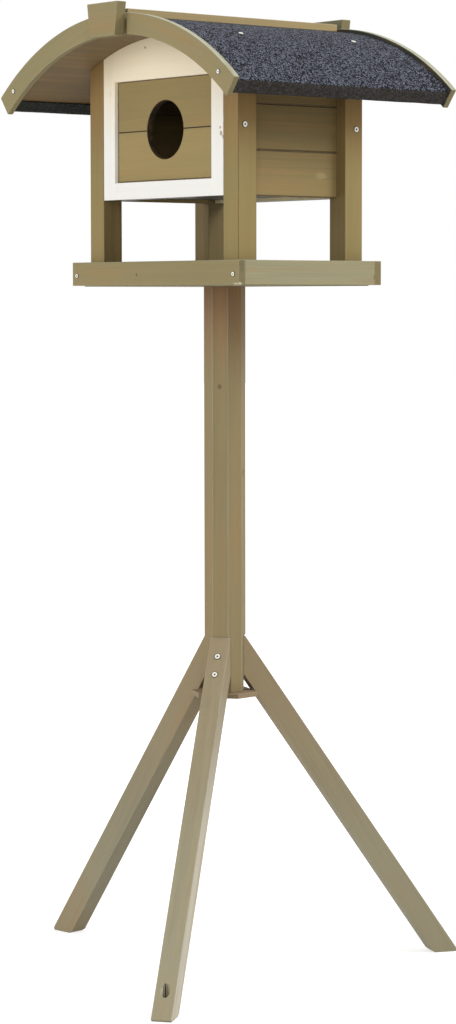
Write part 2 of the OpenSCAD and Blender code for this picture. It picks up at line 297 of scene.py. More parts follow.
class Wiring:
    """Adds nodes to one shader tree and joins them."""

    def __init__(self, tree):
        self.tree = tree

    def add(self, kind, **settings):
        node = self.tree.nodes.new(kind)
        node.location = (200 * len(self.tree.nodes), 0)
        for name, value in settings.items():
            setattr(node, name, value)
        return node

    def feed(self, socket, value):
        if isinstance(value, bpy.types.NodeSocket):
            self.tree.links.new(value, socket)
        elif socket.type == "RGBA" and len(value) == 3:
            socket.default_value = (*value, 1)
        else:
            socket.default_value = value

    def math(self, operation, first, second=0.0):
        node = self.add("ShaderNodeMath", operation=operation)
        self.feed(node.inputs[0], first)
        self.feed(node.inputs[1], second)
        return node.outputs[0]

    def plus(self, first, second):
        return self.math("ADD", first, second)

    def minus(self, first, second):
        return self.math("SUBTRACT", first, second)

    def times(self, first, second):
        return self.math("MULTIPLY", first, second)

    def scaled(self, value, factor, offset):
        """The value times a factor, plus an offset."""
        return self.plus(self.times(value, factor), offset)

    def vector(self, operation, first, second=(0, 0, 0)):
        node = self.add("ShaderNodeVectorMath", operation=operation)
        self.feed(node.inputs[0], first)
        self.feed(node.inputs[1], second)
        return node.outputs["Value" if operation in ("LENGTH", "DOT_PRODUCT") else "Vector"]

    def noise(self, place, scale, detail=2.0, roughness=0.5):
        node = self.add("ShaderNodeTexNoise")
        self.feed(node.inputs["Vector"], place)
        self.feed(node.inputs["Scale"], scale)
        self.feed(node.inputs["Detail"], detail)
        self.feed(node.inputs["Roughness"], roughness)
        return node.outputs["Fac"]

    def streaks(self, place, density, detail=2.0, roughness=0.5):
        """Noise with its own density along each axis."""
        return self.noise(self.vector("MULTIPLY", place, density), 1.0, detail, roughness)

    def cells(self, place, scale):
        node = self.add("ShaderNodeTexVoronoi")
        self.feed(node.inputs["Vector"], place)
        self.feed(node.inputs["Scale"], scale)
        return node.outputs

    def span(self, value, low, high, to_low=0.0, to_high=1.0):
        """Eases from one level to another while the value goes from low to high."""
        node = self.add("ShaderNodeMapRange", interpolation_type="SMOOTHSTEP")
        for socket, given in zip(node.inputs, (value, low, high, to_low, to_high)):
            self.feed(socket, given)
        return node.outputs[0]

    def mix(self, share, first, second):
        node = self.add("ShaderNodeMix", data_type="RGBA")
        self.feed(node.inputs[0], share)
        self.feed(node.inputs[6], first)
        self.feed(node.inputs[7], second)
        return node.outputs[2]

    def ramp(self, value, stops):
        node = self.add("ShaderNodeValToRGB")
        points = node.color_ramp.elements
        while len(points) < len(stops):
            points.new(0.5)
        for point, (place, level) in zip(points, stops):
            point.position = place
            point.color = (level, level, level, 1)
        self.feed(node.inputs[0], value)
        return node.outputs[0]

    def split(self, place):
        node = self.add("ShaderNodeSeparateXYZ")
        self.feed(node.inputs[0], place)
        return node.outputs

    def brighten(self, tone, amount):
        node = self.add("ShaderNodeHueSaturation")
        self.feed(node.inputs["Value"], amount)
        self.feed(node.inputs["Color"], tone)
        return node.outputs[0]

    def group(self, tree, **values):
        node = self.add("ShaderNodeGroup", node_tree=tree)
        for name, value in values.items():
            self.feed(node.inputs[name.replace("_", " ").capitalize()], value)
        return node.outputs


def new_group(name, inputs, outputs):
    """A shader group with named sockets. An input is (name, kind, default), an output (name, kind)."""
    tree = bpy.data.node_groups.new(name, "ShaderNodeTree")
    for label, kind, default in inputs:
        socket = tree.interface.new_socket(label, in_out="INPUT", socket_type=f"NodeSocket{kind}")
        socket.default_value = (*default, 1) if kind == "Color" else default
    for label, kind in outputs:
        tree.interface.new_socket(label, in_out="OUTPUT", socket_type=f"NodeSocket{kind}")
    wires = Wiring(tree)
    return tree, wires, wires.add("NodeGroupInput").outputs, wires.add("NodeGroupOutput").inputs


def shared(name, build):
    """Builds a shared group the first time that it is asked for."""
    return bpy.data.node_groups.get(name) or build(name)


def timber_figure(name):
    """Growth rings, fibres, stain patches and knots of a board whose grain runs along Z."""
    tree, wires, given, out = new_group(
        name,
        [("Place", "Vector", (0, 0, 0)), ("Ring pitch", "Float", 0.004), ("Knots", "Float", 1.0)],
        [("Rings", "Float"), ("Fibre", "Float"), ("Patches", "Float"), ("Knot", "Float")])
    place = given["Place"]
    branch_density = (15, 15, 4.5)
    knot_edge, knot_core = 4.2 * MM, 2.2 * MM
    push_edge, push_core, push_depth = 22 * MM, 3 * MM, 7 * MM
    sway_depth = 16 * MM
    branch = wires.cells(wires.vector("MULTIPLY", place, branch_density), 1.0)["Position"]
    offset = wires.vector("SUBTRACT", place, wires.vector("DIVIDE", branch, branch_density))
    distance = wires.vector("LENGTH", wires.vector("MULTIPLY", offset, (1, 1, 0.7)))
    knot = wires.span(distance, knot_edge, knot_core)
    push = wires.span(distance, push_edge, push_core, 0.0, push_depth)
    sway = wires.streaks(place, (7, 7, 1.3))
    radius = wires.vector("LENGTH", wires.vector("MULTIPLY", place, (1, 1, 0)))
    radius = wires.plus(radius, wires.times(sway, sway_depth))
    radius = wires.plus(radius, wires.times(push, given["Knots"]))
    phase = wires.math("FRACT", wires.math("DIVIDE", radius, given["Ring pitch"]))
    rings = wires.ramp(phase, [(0, 0.1), (0.5, 0.25), (0.82, 0.9), (0.93, 0.8), (1, 0.1)])
    shown = wires.span(wires.streaks(place, (24, 24, 3)), 0.4, 0.65)
    fine = wires.streaks(place, (110, 110, 2.2))
    broad = wires.streaks(place, (16, 16, 5))
    wires.feed(out["Rings"], wires.times(rings, shown))
    wires.feed(out["Fibre"], wires.streaks(place, (900, 900, 11), 3.0, 0.6))
    wires.feed(out["Patches"], wires.plus(wires.times(fine, 0.45), wires.times(broad, 0.55)))
    wires.feed(out["Knot"], wires.times(knot, given["Knots"]))
    return tree


def stained_timber(name):
    """Stain over a timber figure, darker on end grain and paler on rounded edges and upward faces."""
    tree, wires, given, out = new_group(
        name,
        [("Rings", "Float", 0), ("Fibre", "Float", 0.5), ("Patches", "Float", 0.5), ("Knot", "Float", 0),
         ("End grain", "Float", 0), ("Edge", "Float", 0), ("Upward", "Float", 0),
         ("Stain", "Color", (0.3, 0.25, 0.15)), ("Warm", "Color", (0.3, 0.2, 0.1)),
         ("Bleach", "Color", (0.5, 0.5, 0.4)), ("Edge tone", "Color", (0.5, 0.5, 0.4)),
         ("Edge share", "Float", 0.3), ("Contrast", "Float", 1.0)],
        [("Color", "Color"), ("Roughness", "Float"), ("Height", "Float")])
    patch_depth, fibre_depth, ring_depth = 0.55, 0.3, 0.06
    mean_level, knot_level, end_level = 1.04, 0.42, 0.62
    patches, fibre, rings = given["Patches"], given["Fibre"], given["Rings"]
    warm_share = wires.times(wires.span(patches, 0.48, 0.72), 0.5)
    tone = wires.mix(warm_share, given["Stain"], given["Warm"])
    level = wires.times(wires.minus(patches, 0.5), patch_depth)
    level = wires.plus(level, wires.times(wires.minus(fibre, 0.5), fibre_depth))
    level = wires.minus(level, wires.times(rings, ring_depth))
    tone = wires.brighten(tone, wires.scaled(level, given["Contrast"], mean_level))
    tone = wires.mix(wires.times(given["Knot"], 0.75), tone, wires.brighten(tone, knot_level))
    end_share = wires.times(wires.span(given["End grain"], 0.6, 0.95), 0.6)
    tone = wires.mix(end_share, tone, wires.brighten(tone, end_level))
    bleached = wires.times(wires.span(given["Upward"], 0.45, 0.95), 0.8)
    bleached = wires.times(bleached, wires.span(patches, 0.3, 0.6))
    tone = wires.mix(bleached, tone, given["Bleach"])
    wear = wires.times(given["Edge"], wires.span(fibre, 0.35, 0.65, 0.4, 1.0))
    wear = wires.math("MINIMUM", wires.times(wear, given["Edge share"]), 1.0)
    wires.feed(out["Color"], wires.mix(wear, tone, given["Edge tone"]))
    wires.feed(out["Roughness"], wires.plus(wires.scaled(fibre, 0.2, 0.55), wires.times(end_share, 0.2)))
    wires.feed(out["Height"], wires.plus(wires.times(fibre, 0.6), wires.times(rings, 0.4)))
    return tree


def spot_mask(name):
    """A small ragged spot round a point, for a knock, a stopped nail or a chip; stretched long and thin, a
    painted shadow line.
    """
    tree, wires, given, out = new_group(
        name,
        [("Place", "Vector", (0, 0, 0)), ("Centre", "Vector", (0, 0, 0)), ("Stretch", "Vector", (1, 1, 1)),
         ("Radius", "Float", 0.001), ("Ragged", "Float", 0.5)],
        [("Mask", "Float")])
    offset = wires.vector("SUBTRACT", given["Place"], given["Centre"])
    distance = wires.vector("LENGTH", wires.vector("MULTIPLY", offset, given["Stretch"]))
    uneven = wires.minus(wires.noise(given["Place"], 700.0), 0.5)
    uneven = wires.times(wires.times(uneven, given["Ragged"]), given["Radius"])
    outer = wires.times(given["Radius"], 1.25)
    inner = wires.times(given["Radius"], 0.6)
    wires.feed(out["Mask"], wires.span(wires.plus(distance, uneven), outer, inner))
    return tree


def granule_field(name):
    """Crushed slate pressed into bitumen: pale and dark granules, with gaps between them."""
    tree, wires, given, out = new_group(
        name,
        [("Place", "Vector", (0, 0, 0)), ("Size", "Float", 0.0016), ("Bare", "Float", 0.0)],
        [("Pale", "Float"), ("Gap", "Float"), ("Height", "Float"), ("Cloud", "Float")])
    grains = wires.cells(given["Place"], wires.math("DIVIDE", 1.0, given["Size"]))
    shade = wires.split(grains["Color"])[0]
    swell = wires.span(grains["Distance"], 0.62, 0.15)
    loss = wires.noise(given["Place"], 160.0, 3.0, 0.7)
    gap = wires.times(wires.minus(1.0, swell), wires.span(loss, 0.3, 0.62, 0.6, 0.85))
    bare = wires.times(given["Bare"], wires.span(loss, 0.3, 0.6))
    wires.feed(out["Pale"], wires.span(shade, 0.4, 0.7))
    wires.feed(out["Gap"], wires.math("MAXIMUM", gap, bare))
    wires.feed(out["Height"], wires.times(swell, wires.plus(shade, 0.4)))
    wires.feed(out["Cloud"], wires.noise(given["Place"], 14.0, 3.0))
    return tree


def new_material(name):
    """An empty material with a Principled shader, its wiring and object coordinates."""
    material = bpy.data.materials.new(name)
    material.use_nodes = True
    tree = material.node_tree
    tree.nodes.clear()
    wires = Wiring(tree)
    shader = wires.add("ShaderNodeBsdfPrincipled")
    surface = wires.add("ShaderNodeOutputMaterial")
    tree.links.new(shader.outputs[0], surface.inputs["Surface"])
    return material, wires, shader.inputs, wires.add("ShaderNodeTexCoord").outputs


def relief(wires, shader, height, depth, strength):
    """Raises the surface by a height pattern."""
    bump = wires.add("ShaderNodeBump")
    wires.feed(bump.inputs["Height"], height)
    wires.feed(bump.inputs["Distance"], depth)
    wires.feed(bump.inputs["Strength"], strength)
    wires.feed(shader["Normal"], bump.outputs["Normal"])


def along_grain(wires, coordinates, along, shift):
    """Object coordinates turned so that the grain runs along Z, and how squarely a face cuts it."""
    turn = Vector(along).rotation_difference(UP).to_euler()
    mapping = wires.add("ShaderNodeMapping")
    wires.feed(mapping.inputs["Vector"], coordinates["Object"])
    mapping.inputs["Rotation"].default_value = turn
    mapping.inputs["Location"].default_value = shift
    end_grain = wires.vector("DOT_PRODUCT", coordinates["Normal"], Vector(along).normalized())
    return mapping.outputs[0], wires.math("ABSOLUTE", end_grain)


def edge_strips(wires):
    """One on the rounded edges of a piece, and nothing elsewhere."""
    node = wires.add("ShaderNodeAttribute", attribute_name="edge")
    return node.outputs["Fac"]


def height_of(wires, coordinates):
    """The height above the ground."""
    return wires.split(coordinates["Object"])[2]


def upward_turn(wires, coordinates):
    """One on faces that look up, nothing on upright ones and minus one on undersides."""
    return wires.split(coordinates["Normal"])[2]


def inward_faces(wires, coordinates, axis=1, start=-20 * MM, full=-60 * MM):
    """One on the faces that look along an axis towards the middle of the feeder, and nothing elsewhere."""
    place, normal = wires.split(coordinates["Object"]), wires.split(coordinates["Normal"])
    return wires.span(wires.times(place[axis], normal[axis]), start, full)


def low_lit_faces(wires, coordinates, direction):
    """One on the faces near the ground that look one way, and little higher up: where a painted highlight
    goes.
    """
    turned = wires.vector("DOT_PRODUCT", coordinates["Normal"], direction)
    fade_start, fade_full, faint = 0.4, 0.12, 0.12
    low = wires.span(height_of(wires, coordinates), fade_start, fade_full, faint, 1.0)
    return wires.times(wires.span(turned, 0.6, 0.9), low)


def shaded_hole_wall(wires, coordinates, height, radius):
    """One on the wall of a hole that runs along Y at a height, where painted shade goes, and nothing
    elsewhere.
    """
    offset = wires.vector("SUBTRACT", coordinates["Object"], (0, 0, height))
    distance = wires.vector("LENGTH", wires.vector("MULTIPLY", offset, (1, 0, 1)))
    near = wires.span(distance, radius * 1.006, radius * 1.001)
    lengthwise = wires.math("ABSOLUTE", wires.split(coordinates["Normal"])[1])
    return wires.times(near, wires.span(lengthwise, 0.6, 0.3))


def add_spots(wires, coordinates, tone, spots):
    """Lays small marks over a colour. A spot is (centre in mm, radius in mm, stretch, colour, strength)."""
    for centre, radius, stretch, mark, strength in spots:
        mask = wires.group(
            shared("Spot", spot_mask), place=coordinates["Object"], centre=Vector(centre) * MM,
            stretch=stretch, radius=radius * MM, ragged=0.9)["Mask"]
        tone = wires.mix(wires.times(mask, strength), tone, tint(*mark))
    return tone


def timber(name, stain, along, shift=(0.035, 0.05, 0), pitch=3.6, knots=1.0, contrast=1.0, spots=(),
           fade=None, inside_shade=None, inside_axes=(1,), lit_flank=None, shaded_bore=None, edge_tone=None, weather=1.0):
    """Stained timber with its grain along one direction. Pitch spaces its rings in mm, and shift moves them.

    A fade is (tone, height where it starts, height where it is full); some fades stand for painted shade and
    painted light.
    Inside is the tone of painted shade on inward faces. A flank is (tone of a painted highlight, direction),
    and a bore is (tone of painted shade, height, radius) of a hole that runs along Y.
    Weather hastens the bleaching of upward faces.
    """
    settings = bpy.context.scene.feeder_timber
    material, wires, shader, coordinates = new_material(name)
    place, end_grain = along_grain(wires, coordinates, along, shift)
    figure = wires.group(
        shared("Timber figure", timber_figure), place=place, ring_pitch=pitch * MM, knots=knots)
    tone = stain
    upward = wires.times(upward_turn(wires, coordinates), weather)
    if fade:
        other, start, full = fade
        tone = wires.mix(wires.span(height_of(wires, coordinates), start, full), tone, other)
    # Painted shade on the faces that look inwards.
    if inside_shade:
        for axis in inside_axes:
            tone = wires.mix(inward_faces(wires, coordinates, axis), tone, inside_shade)
    # Painted highlight on the low faces that look one way.
    if lit_flank:
        pale, direction = lit_flank
        tone = wires.mix(low_lit_faces(wires, coordinates, direction), tone, pale)
    # Painted shade on the wall of the hole.
    if shaded_bore:
        shade, height, radius = shaded_bore
        wall = shaded_hole_wall(wires, coordinates, height, radius)
        tone = wires.mix(wall, tone, shade)
        upward = wires.minus(upward, wall)
    finish = wires.group(
        shared("Stained timber", stained_timber), rings=figure["Rings"], fibre=figure["Fibre"],
        patches=figure["Patches"], knot=figure["Knot"], end_grain=end_grain, edge=edge_strips(wires),
        upward=upward, stain=tone, warm=settings.warm_streaks, bleach=settings.bleach,
        edge_tone=edge_tone or settings.bleach, edge_share=2.0 if edge_tone else 0.25, contrast=contrast)
    wires.feed(shader["Base Color"], add_spots(wires, coordinates, finish["Color"], spots))
    wires.feed(shader["Roughness"], finish["Roughness"])
    shader["Specular IOR Level"].default_value = 0.3
    relief(wires, shader, finish["Height"], 0.25 * MM, 0.7)
    return material


def painted_timber(name, along, spots):
    """Off-white paint through which the grain shows faintly. It turns cream towards the roof: partly a
    creamier paint, partly painted shade and warm light bounced from the roof.
    """
    settings = bpy.context.scene.feeder_paint
    material, wires, shader, coordinates = new_material(name)
    place = along_grain(wires, coordinates, along, (0.05, 0.03, 0))[0]
    figure = wires.group(shared("Timber figure", timber_figure), place=place, ring_pitch=4.2 * MM, knots=0.6)
    height = height_of(wires, coordinates)
    # The cream towards the roof is partly paint, partly painted shade and warm bounced light.
    cream_start, cream_full = 1.0, 1.13
    tone = wires.mix(wires.span(height, cream_start, cream_full), settings.lower, settings.upper)
    level = wires.times(wires.minus(figure["Patches"], 0.5), 0.12)
    level = wires.minus(level, wires.times(figure["Rings"], 0.012))
    tone = wires.brighten(tone, wires.plus(level, 1.0))
    thin = wires.times(wires.span(figure["Fibre"], 0.6, 0.8), wires.scaled(edge_strips(wires), 0.3, 0.05))
    tone = wires.mix(thin, tone, settings.chip)
    tone = wires.mix(wires.times(figure["Knot"], 0.14), tone, settings.chip)
    # Inward faces get bare timber, brightened as painted light where they stand in shade.
    bare = wires.brighten(settings.bare, wires.scaled(figure["Patches"], 0.5, 0.75))
    tone = wires.mix(inward_faces(wires, coordinates), tone, bare)
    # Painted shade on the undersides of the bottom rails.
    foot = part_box("front_rail")[0].z
    rail_underside_shade = wires.span(height, foot + 4 * MM, foot + 2 * MM)
    rail_underside_shade = wires.times(rail_underside_shade, wires.span(upward_turn(wires, coordinates), -0.5, -0.9))
    tone = wires.mix(rail_underside_shade, tone, settings.underside)
    wires.feed(shader["Base Color"], add_spots(wires, coordinates, tone, spots))
    wires.feed(shader["Roughness"], wires.scaled(figure["Patches"], 0.2, 0.35))
    relief(wires, shader, wires.plus(figure["Fibre"], figure["Rings"]), 0.12 * MM, 0.5)
    return material


def mineral_felt(name):
    """Slate-blue mineral felt, barer and browner where it is turned down over the eaves."""
    settings = bpy.context.scene.feeder_roof
    material, wires, shader, coordinates = new_material(name)
    turned = wires.span(upward_turn(wires, coordinates), 0.35, -0.1)
    turned = wires.times(turned, 0.8)
    field = wires.group(
        shared("Granules", granule_field), place=coordinates["Object"], size=settings.granule_size,
        bare=turned)
    tone = wires.mix(field["Pale"], settings.granule_dark, settings.granule_pale)
    tone = wires.mix(field["Gap"], tone, settings.bitumen)
    tone = wires.brighten(tone, wires.scaled(field["Cloud"], 0.2, 0.62))
    # Darker, browner felt where it is turned down at the eaves.
    tone = wires.mix(turned, tone, settings.eave_turn_tone)
    under = wires.times(inward_faces(wires, coordinates, axis=0, start=-10 * MM), 0.9)
    wires.feed(shader["Base Color"], wires.mix(under, tone, settings.underside))
    wires.feed(shader["Roughness"], wires.minus(0.92, wires.times(field["Pale"], 0.3)))
    shader["Specular IOR Level"].default_value = 0.12
    relief(wires, shader, field["Height"], 0.7 * MM, 0.9)
    return material


def coated_steel(name, tone, scuffed):
    """A screw's surface with small scuffs."""
    material, wires, shader, coordinates = new_material(name)
    scuffs = wires.noise(coordinates["Object"], 900.0, 3.0, 0.6)
    cloud = wires.noise(coordinates["Object"], 120.0)
    shaded = wires.brighten(tone, wires.scaled(cloud, 0.2, 0.9))
    shaded = wires.mix(wires.times(wires.span(scuffs, 0.58, 0.75), 0.5), shaded, scuffed)
    wires.feed(shader["Base Color"], shaded)
    wires.feed(shader["Roughness"], wires.scaled(scuffs, 0.3, 0.25))
    shader["Metallic"].default_value = 0.15
    relief(wires, shader, scuffs, 0.05 * MM, 0.6)
    return material


# ---- the pieces ----

X, Y, Z = (1, 0, 0), (0, 1, 0), (0, 0, 1)


def leg_direction(node):
    """The way a leg runs, from the post out to its foot."""
    low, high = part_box(node)
    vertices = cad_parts[node].data.vertices
    ground = [vertex.co for vertex in vertices if vertex.co.z < low.z + 0.1 * MM]
    foot = sum(ground, Vector()) / len(ground)
    outward = Vector((foot.x, foot.y, 0)).normalized()
    reach_at_top = 30 * MM
    slope = math.atan2(foot.xy.length - reach_at_top, high.z)
    return outward * math.sin(slope) - UP * math.cos(slope)


class FEEDER_OT_stand(Operator):
    """Finish the post, the legs and the plate between them"""
    bl_idname = "feeder.stand"
    bl_label = "Stand"

    def execute(self, context):
        settings, tones = context.scene.feeder_timber, context.scene.feeder_tones
        post = timber(
            "Post timber", settings.post_stain, Z, (0.045, 0.03, 0), 4.2,
            # The head fade is partly a browner stain, partly painted shade under the tray.
            fade=(tones.post_head_shade, 0.71, 0.85),
            spots=[((14, -19.5, 724), 2.6, (1, 1, 0.8), (104, 84, 62), 0.8)])
        dress("main_post", "timber", post, "stand_wood", settings.edge_round)
        for number, node in enumerate(LEGS):
            material = timber(
                f"Leg timber {number + 1}", settings.leg_stain, leg_direction(node),
                # The fade leaves the feet paler and greyer: painted light bounced from the floor.
                (0.03 + 0.01 * number, 0.04, 0.1 * number), 3.8, fade=(tones.leg_top, 0.1, 0.42),
                # Painted highlight on the front leg's lit flank near the ground.
                lit_flank=(tones.lit_leg_flank, (0.8, 0.6, 0)) if node == "front_leg" else None)
            dress(node, "timber", material, "stand_wood", settings.leg_round)
        plate = timber(
            "Plate timber", settings.plate_stain, (0.6, -0.8, 0), (0.02, 0.03, 0), 3.0,
            knots=0.0, weather=0.0)
        dress("leg_plate", "timber", plate, "stand_wood", settings.plate_round)
        return {"FINISHED"}


class FEEDER_OT_tray(Operator):
    """Finish the tray's floor and rim boards"""
    bl_idname = "feeder.tray"
    bl_label = "Tray"

    def execute(self, context):
        settings = context.scene.feeder_timber
        edge = settings.edge_round
        long_rim = timber(
            "Long rim timber", settings.tray_stain, X, (0.03, 0.06, 0.2),
            spots=[((-31.7, -112.5, 861), 1.6, (1, 1, 0.7), (96, 80, 58), 0.9),
                   ((162.5, -110, 848.5), 2.6, (0.4, 1, 1), (214, 206, 180), 0.8),
                   ((157, -112.5, 848.2), 2.2, (0.5, 1, 1), (206, 198, 170), 0.7),
                   ((162.5, -107, 870), 3.4, (1, 1, 0.4), (98, 94, 66), 0.55)])
        cross_rim = timber(
            "Cross rim timber", settings.cross_rim_stain, Y, (0.05, 0.02, 0.4),
            spots=[((162.5, 101.7, 857.6), 1.8, (1, 1, 0.6), (92, 84, 60), 0.7)])
        floor = timber("Tray floor timber", settings.tray_stain, X, (0.02, 0.09, 0.1), 5.0)
        dress("tray_floor", "board", floor, "tray_wood", edge)
        for material, sides in ((long_rim, ENDS), (cross_rim, HANDS)):
            for side in sides:
                dress(f"tray_rim_{side}", "board", material, "tray_wood", edge)
        return {"FINISHED"}


class FEEDER_OT_corner_posts(Operator):
    """Finish the four corner posts of the house"""
    bl_idname = "feeder.corner_posts"
    bl_label = "Corner Posts"

    def execute(self, context):
        settings, tones = context.scene.feeder_timber, context.scene.feeder_tones
        material = timber(
            "Corner post timber", settings.corner_stain, Z, (0.2, 0.18, 0), 3.4,
            # Painted shade at the heads under the eaves and on the inward faces.
            fade=(tones.corner_head_shade, 0.97, 1.08), inside_shade=tones.corner_inside_shade, inside_axes=(0, 1),
            edge_tone=tones.corner_edge,
            spots=[((116.5, -86, 929), 2.2, (1, 1, 1), (188, 172, 124), 0.7)])
        for end in ENDS:
            for side in HANDS:
                dress(f"corner_post_{end}_{side}", "timber", material, "house_wood", settings.edge_round)
        return {"FINISHED"}


class FEEDER_OT_gable_frames(Operator):
    """Finish the painted frames of both gables"""
    bl_idname = "feeder.gable_frames"
    bl_label = "Gable Frames"

    def execute(self, context):
        edge = context.scene.feeder_paint.edge_round
        brown = (150, 108, 80)
        upright = painted_timber(
            "Stile paint", Z,
            [((111, -97.5, 1033), 1.7, (1, 1, 1), brown, 0.7),
             ((112.6, -97.5, 1026), 2.2, (1, 1, 0.7), brown, 0.75),
             ((116, -97.5, 1022), 1.4, (1, 1, 0.5), brown, 0.6)])
        level = painted_timber(
            "Rail paint", X,
            [((-32.4, -97.5, 1135.6), 1.5, (1, 1, 1), (120, 100, 72), 0.85),
             ((95, -97.5, 957.6), 1.2, (1.6, 1, 0.6), (140, 132, 120), 0.7)])
        for end in ENDS:
            for side in HANDS:
                dress(f"{end}_stile_{side}", "painted", upright, "frame_paint", edge)
            for board in ("rail", "spandrel"):
                dress(f"{end}_{board}", "painted", level, "frame_paint", edge)
        return {"FINISHED"}


class FEEDER_OT_house_boards(Operator):
    """Finish the boards of the gables and the sides, and the nest floor"""
    bl_idname = "feeder.house_boards"
    bl_label = "House Boards"

    def execute(self, context):
        settings, tones = context.scene.feeder_timber, context.scene.feeder_tones
        edge = settings.edge_round
        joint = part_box("front_upper_board")[0].z
        hole_radius = 35 * MM
        gable = timber(
            "Gable board timber", settings.gable_stain, X, (0.02, 0.11, 0.3), 3.0,
            fade=(tones.gable_top, joint - 5.5 * MM, joint + 4.5 * MM),
            # Painted shade on the inward faces.
            edge_tone=tones.gable_joint, inside_shade=tones.gable_inside_shade,
            # Painted shade on the wall of the entrance hole.
            shaded_bore=(tones.shaded_hole_wall, joint, hole_radius),
            # The two long thin spots are painted shadow lines where the boards sit behind the frame: down
            # the left and along the bottom.
            spots=[((-94, -92.5, 1035.5), 1.9, (1, 1, 0.012), (58, 43, 24), 0.9),
                   ((0, -92.5, 974.5), 1.5, (0.008, 1, 1), (70, 54, 30), 0.8)])
        side = timber(
            "Side board timber", settings.side_stain, Y, (0.1, 0.03, 0.3), 4.4,
            fade=(tones.side_top, 0.96, 1.04), edge_tone=tones.side_joint,
            spots=[((129.5, 44, 979), 7, (1, 0.8, 1.6), (178, 164, 118), 0.35)])
        # The nest floor's dark tone is painted shade.
        floor = timber("Nest floor timber", settings.nest_floor_shade, X, (0.02, 0.1, 0.5), 4.0)
        for end in ENDS:
            for level in ("lower", "upper"):
                dress(f"{end}_{level}_board", "wood", gable, "house_wood", edge)
        for hand in HANDS:
            for level in ("lower", "middle", "upper"):
                dress(f"{hand}_side_board_{level}", "wood", side, "house_wood", settings.side_round)
        dress("nest_floor", "board", floor, "house_wood", edge)
        return {"FINISHED"}


class FEEDER_OT_roof_trim(Operator):
    """Finish the roof deck, the fascias, the keystones and the ridge lath"""
    bl_idname = "feeder.roof_trim"
    bl_label = "Roof Timber"

    def execute(self, context):
        settings, tones = context.scene.feeder_timber, context.scene.feeder_tones
        edge = settings.edge_round
        soffit = timber("Soffit timber", settings.soffit_stain, Y, (0.08, 0.2, 0), 5.0, contrast=0.8)
        dress("roof_deck", "timber", soffit, "roof_wood", edge)
        fascia_fall = math.radians(21)
        for side, sign in zip(HANDS, (-1, 1)):
            grain = (math.cos(fascia_fall), 0, -sign * math.sin(fascia_fall))
            fascia = timber(
                f"Fascia timber {side}", settings.roof_stain, grain,
                # Painted shade on the inward faces.
                (0.06, 0.04 + 0.02 * sign, 0.2 * sign), 4.0, inside_shade=tones.fascia_inside_shade, weather=1.5)
            for end in ENDS:
                dress(f"{end}_fascia_{side}", "timber", fascia, "roof_wood", edge)
        key = timber(
            "Keystone timber", settings.roof_stain, X, (0.07, 0.05, 0.6), 3.2,
            # Painted shade on the inward faces.
            inside_shade=tones.keystone_inside_shade, weather=1.5)
        for end in ENDS:
            dress(f"{end}_keystone", "timber", key, "roof_wood", edge)
        lath = timber("Ridge lath timber", settings.lath_stain, Y, (0.02, 0.07, 0.7), 3.0)
        dress("ridge_lath", "timber", lath, "lath_wood", edge)
        return {"FINISHED"}


def meet(point, direction, radius):
    """The higher point where a line in the roof's section meets a circle round the roof's centre."""
    point, direction = Vector(point), Vector(direction).normalized()
    middle = point.dot(direction)
    reach = math.sqrt(middle * middle - point.length_squared + radius * radius)
    return max((point + direction * (sign * reach - middle) for sign in (-1, 1)), key=lambda found: found.y)


def arc_between(first, last, steps):
    """Points on the circle round the roof's centre, from after the first point up to the last."""
    radius = first.length
    start, end = (math.atan2(point.x, point.y) for point in (first, last))
    turns = (start + (end - start) * step / steps for step in range(1, steps + 1))
    return [Vector((radius * math.sin(turn), radius * math.cos(turn))) for turn in turns]


def soften(points, corner, reach, steps=4):
    """Replaces a corner of a line with a small curve."""
    near = [index for index, point in enumerate(points) if (point - corner).length < reach]
    first, last = points[near[0] - 1], points[near[-1] + 1]
    curve = []
    for step in range(1, steps + 1):
        share = step / (steps + 1)
        curve.append(first.lerp(corner, share).lerp(corner.lerp(last, share), share))
    return points[:near[0]] + curve + points[near[-1] + 1:]


def felt_line(settings):
    """The middle of the felt's thickness in section, from under one eave over the roof to the other."""
    half = settings.felt_thickness / 2
    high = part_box("roof_felt")[1]
    outer = Vector((high.x, math.sqrt(settings.felt_radius ** 2 - high.x ** 2)))
    down = Vector((-math.sin(settings.eave_lean), -math.cos(settings.eave_lean)))
    inward = Vector((-math.cos(settings.eave_lean), math.sin(settings.eave_lean)))
    brow = meet(outer + inward * half, down, settings.felt_radius - half)
    foot = meet(outer + inward * half, down, settings.turn_radius + half)
    end = meet(outer + Vector((-settings.turn_width, 0)), down, settings.turn_radius + half)
    crown = Vector((0, settings.felt_radius - half))
    slope_steps, turn_steps, end_steps = 80, 7, 9
    side = [crown] + arc_between(crown, brow, slope_steps)
    side += [brow.lerp(foot, step / turn_steps) for step in range(1, turn_steps + 1)]
    side += arc_between(foot, end, end_steps)
    side = soften(side, brow, settings.fold_reach)
    side = soften(side, foot, settings.fold_reach)
    mirrored = [Vector((-point.x, point.y)) for point in reversed(side[1:])]
    return mirrored + side, high.z - settings.felt_radius


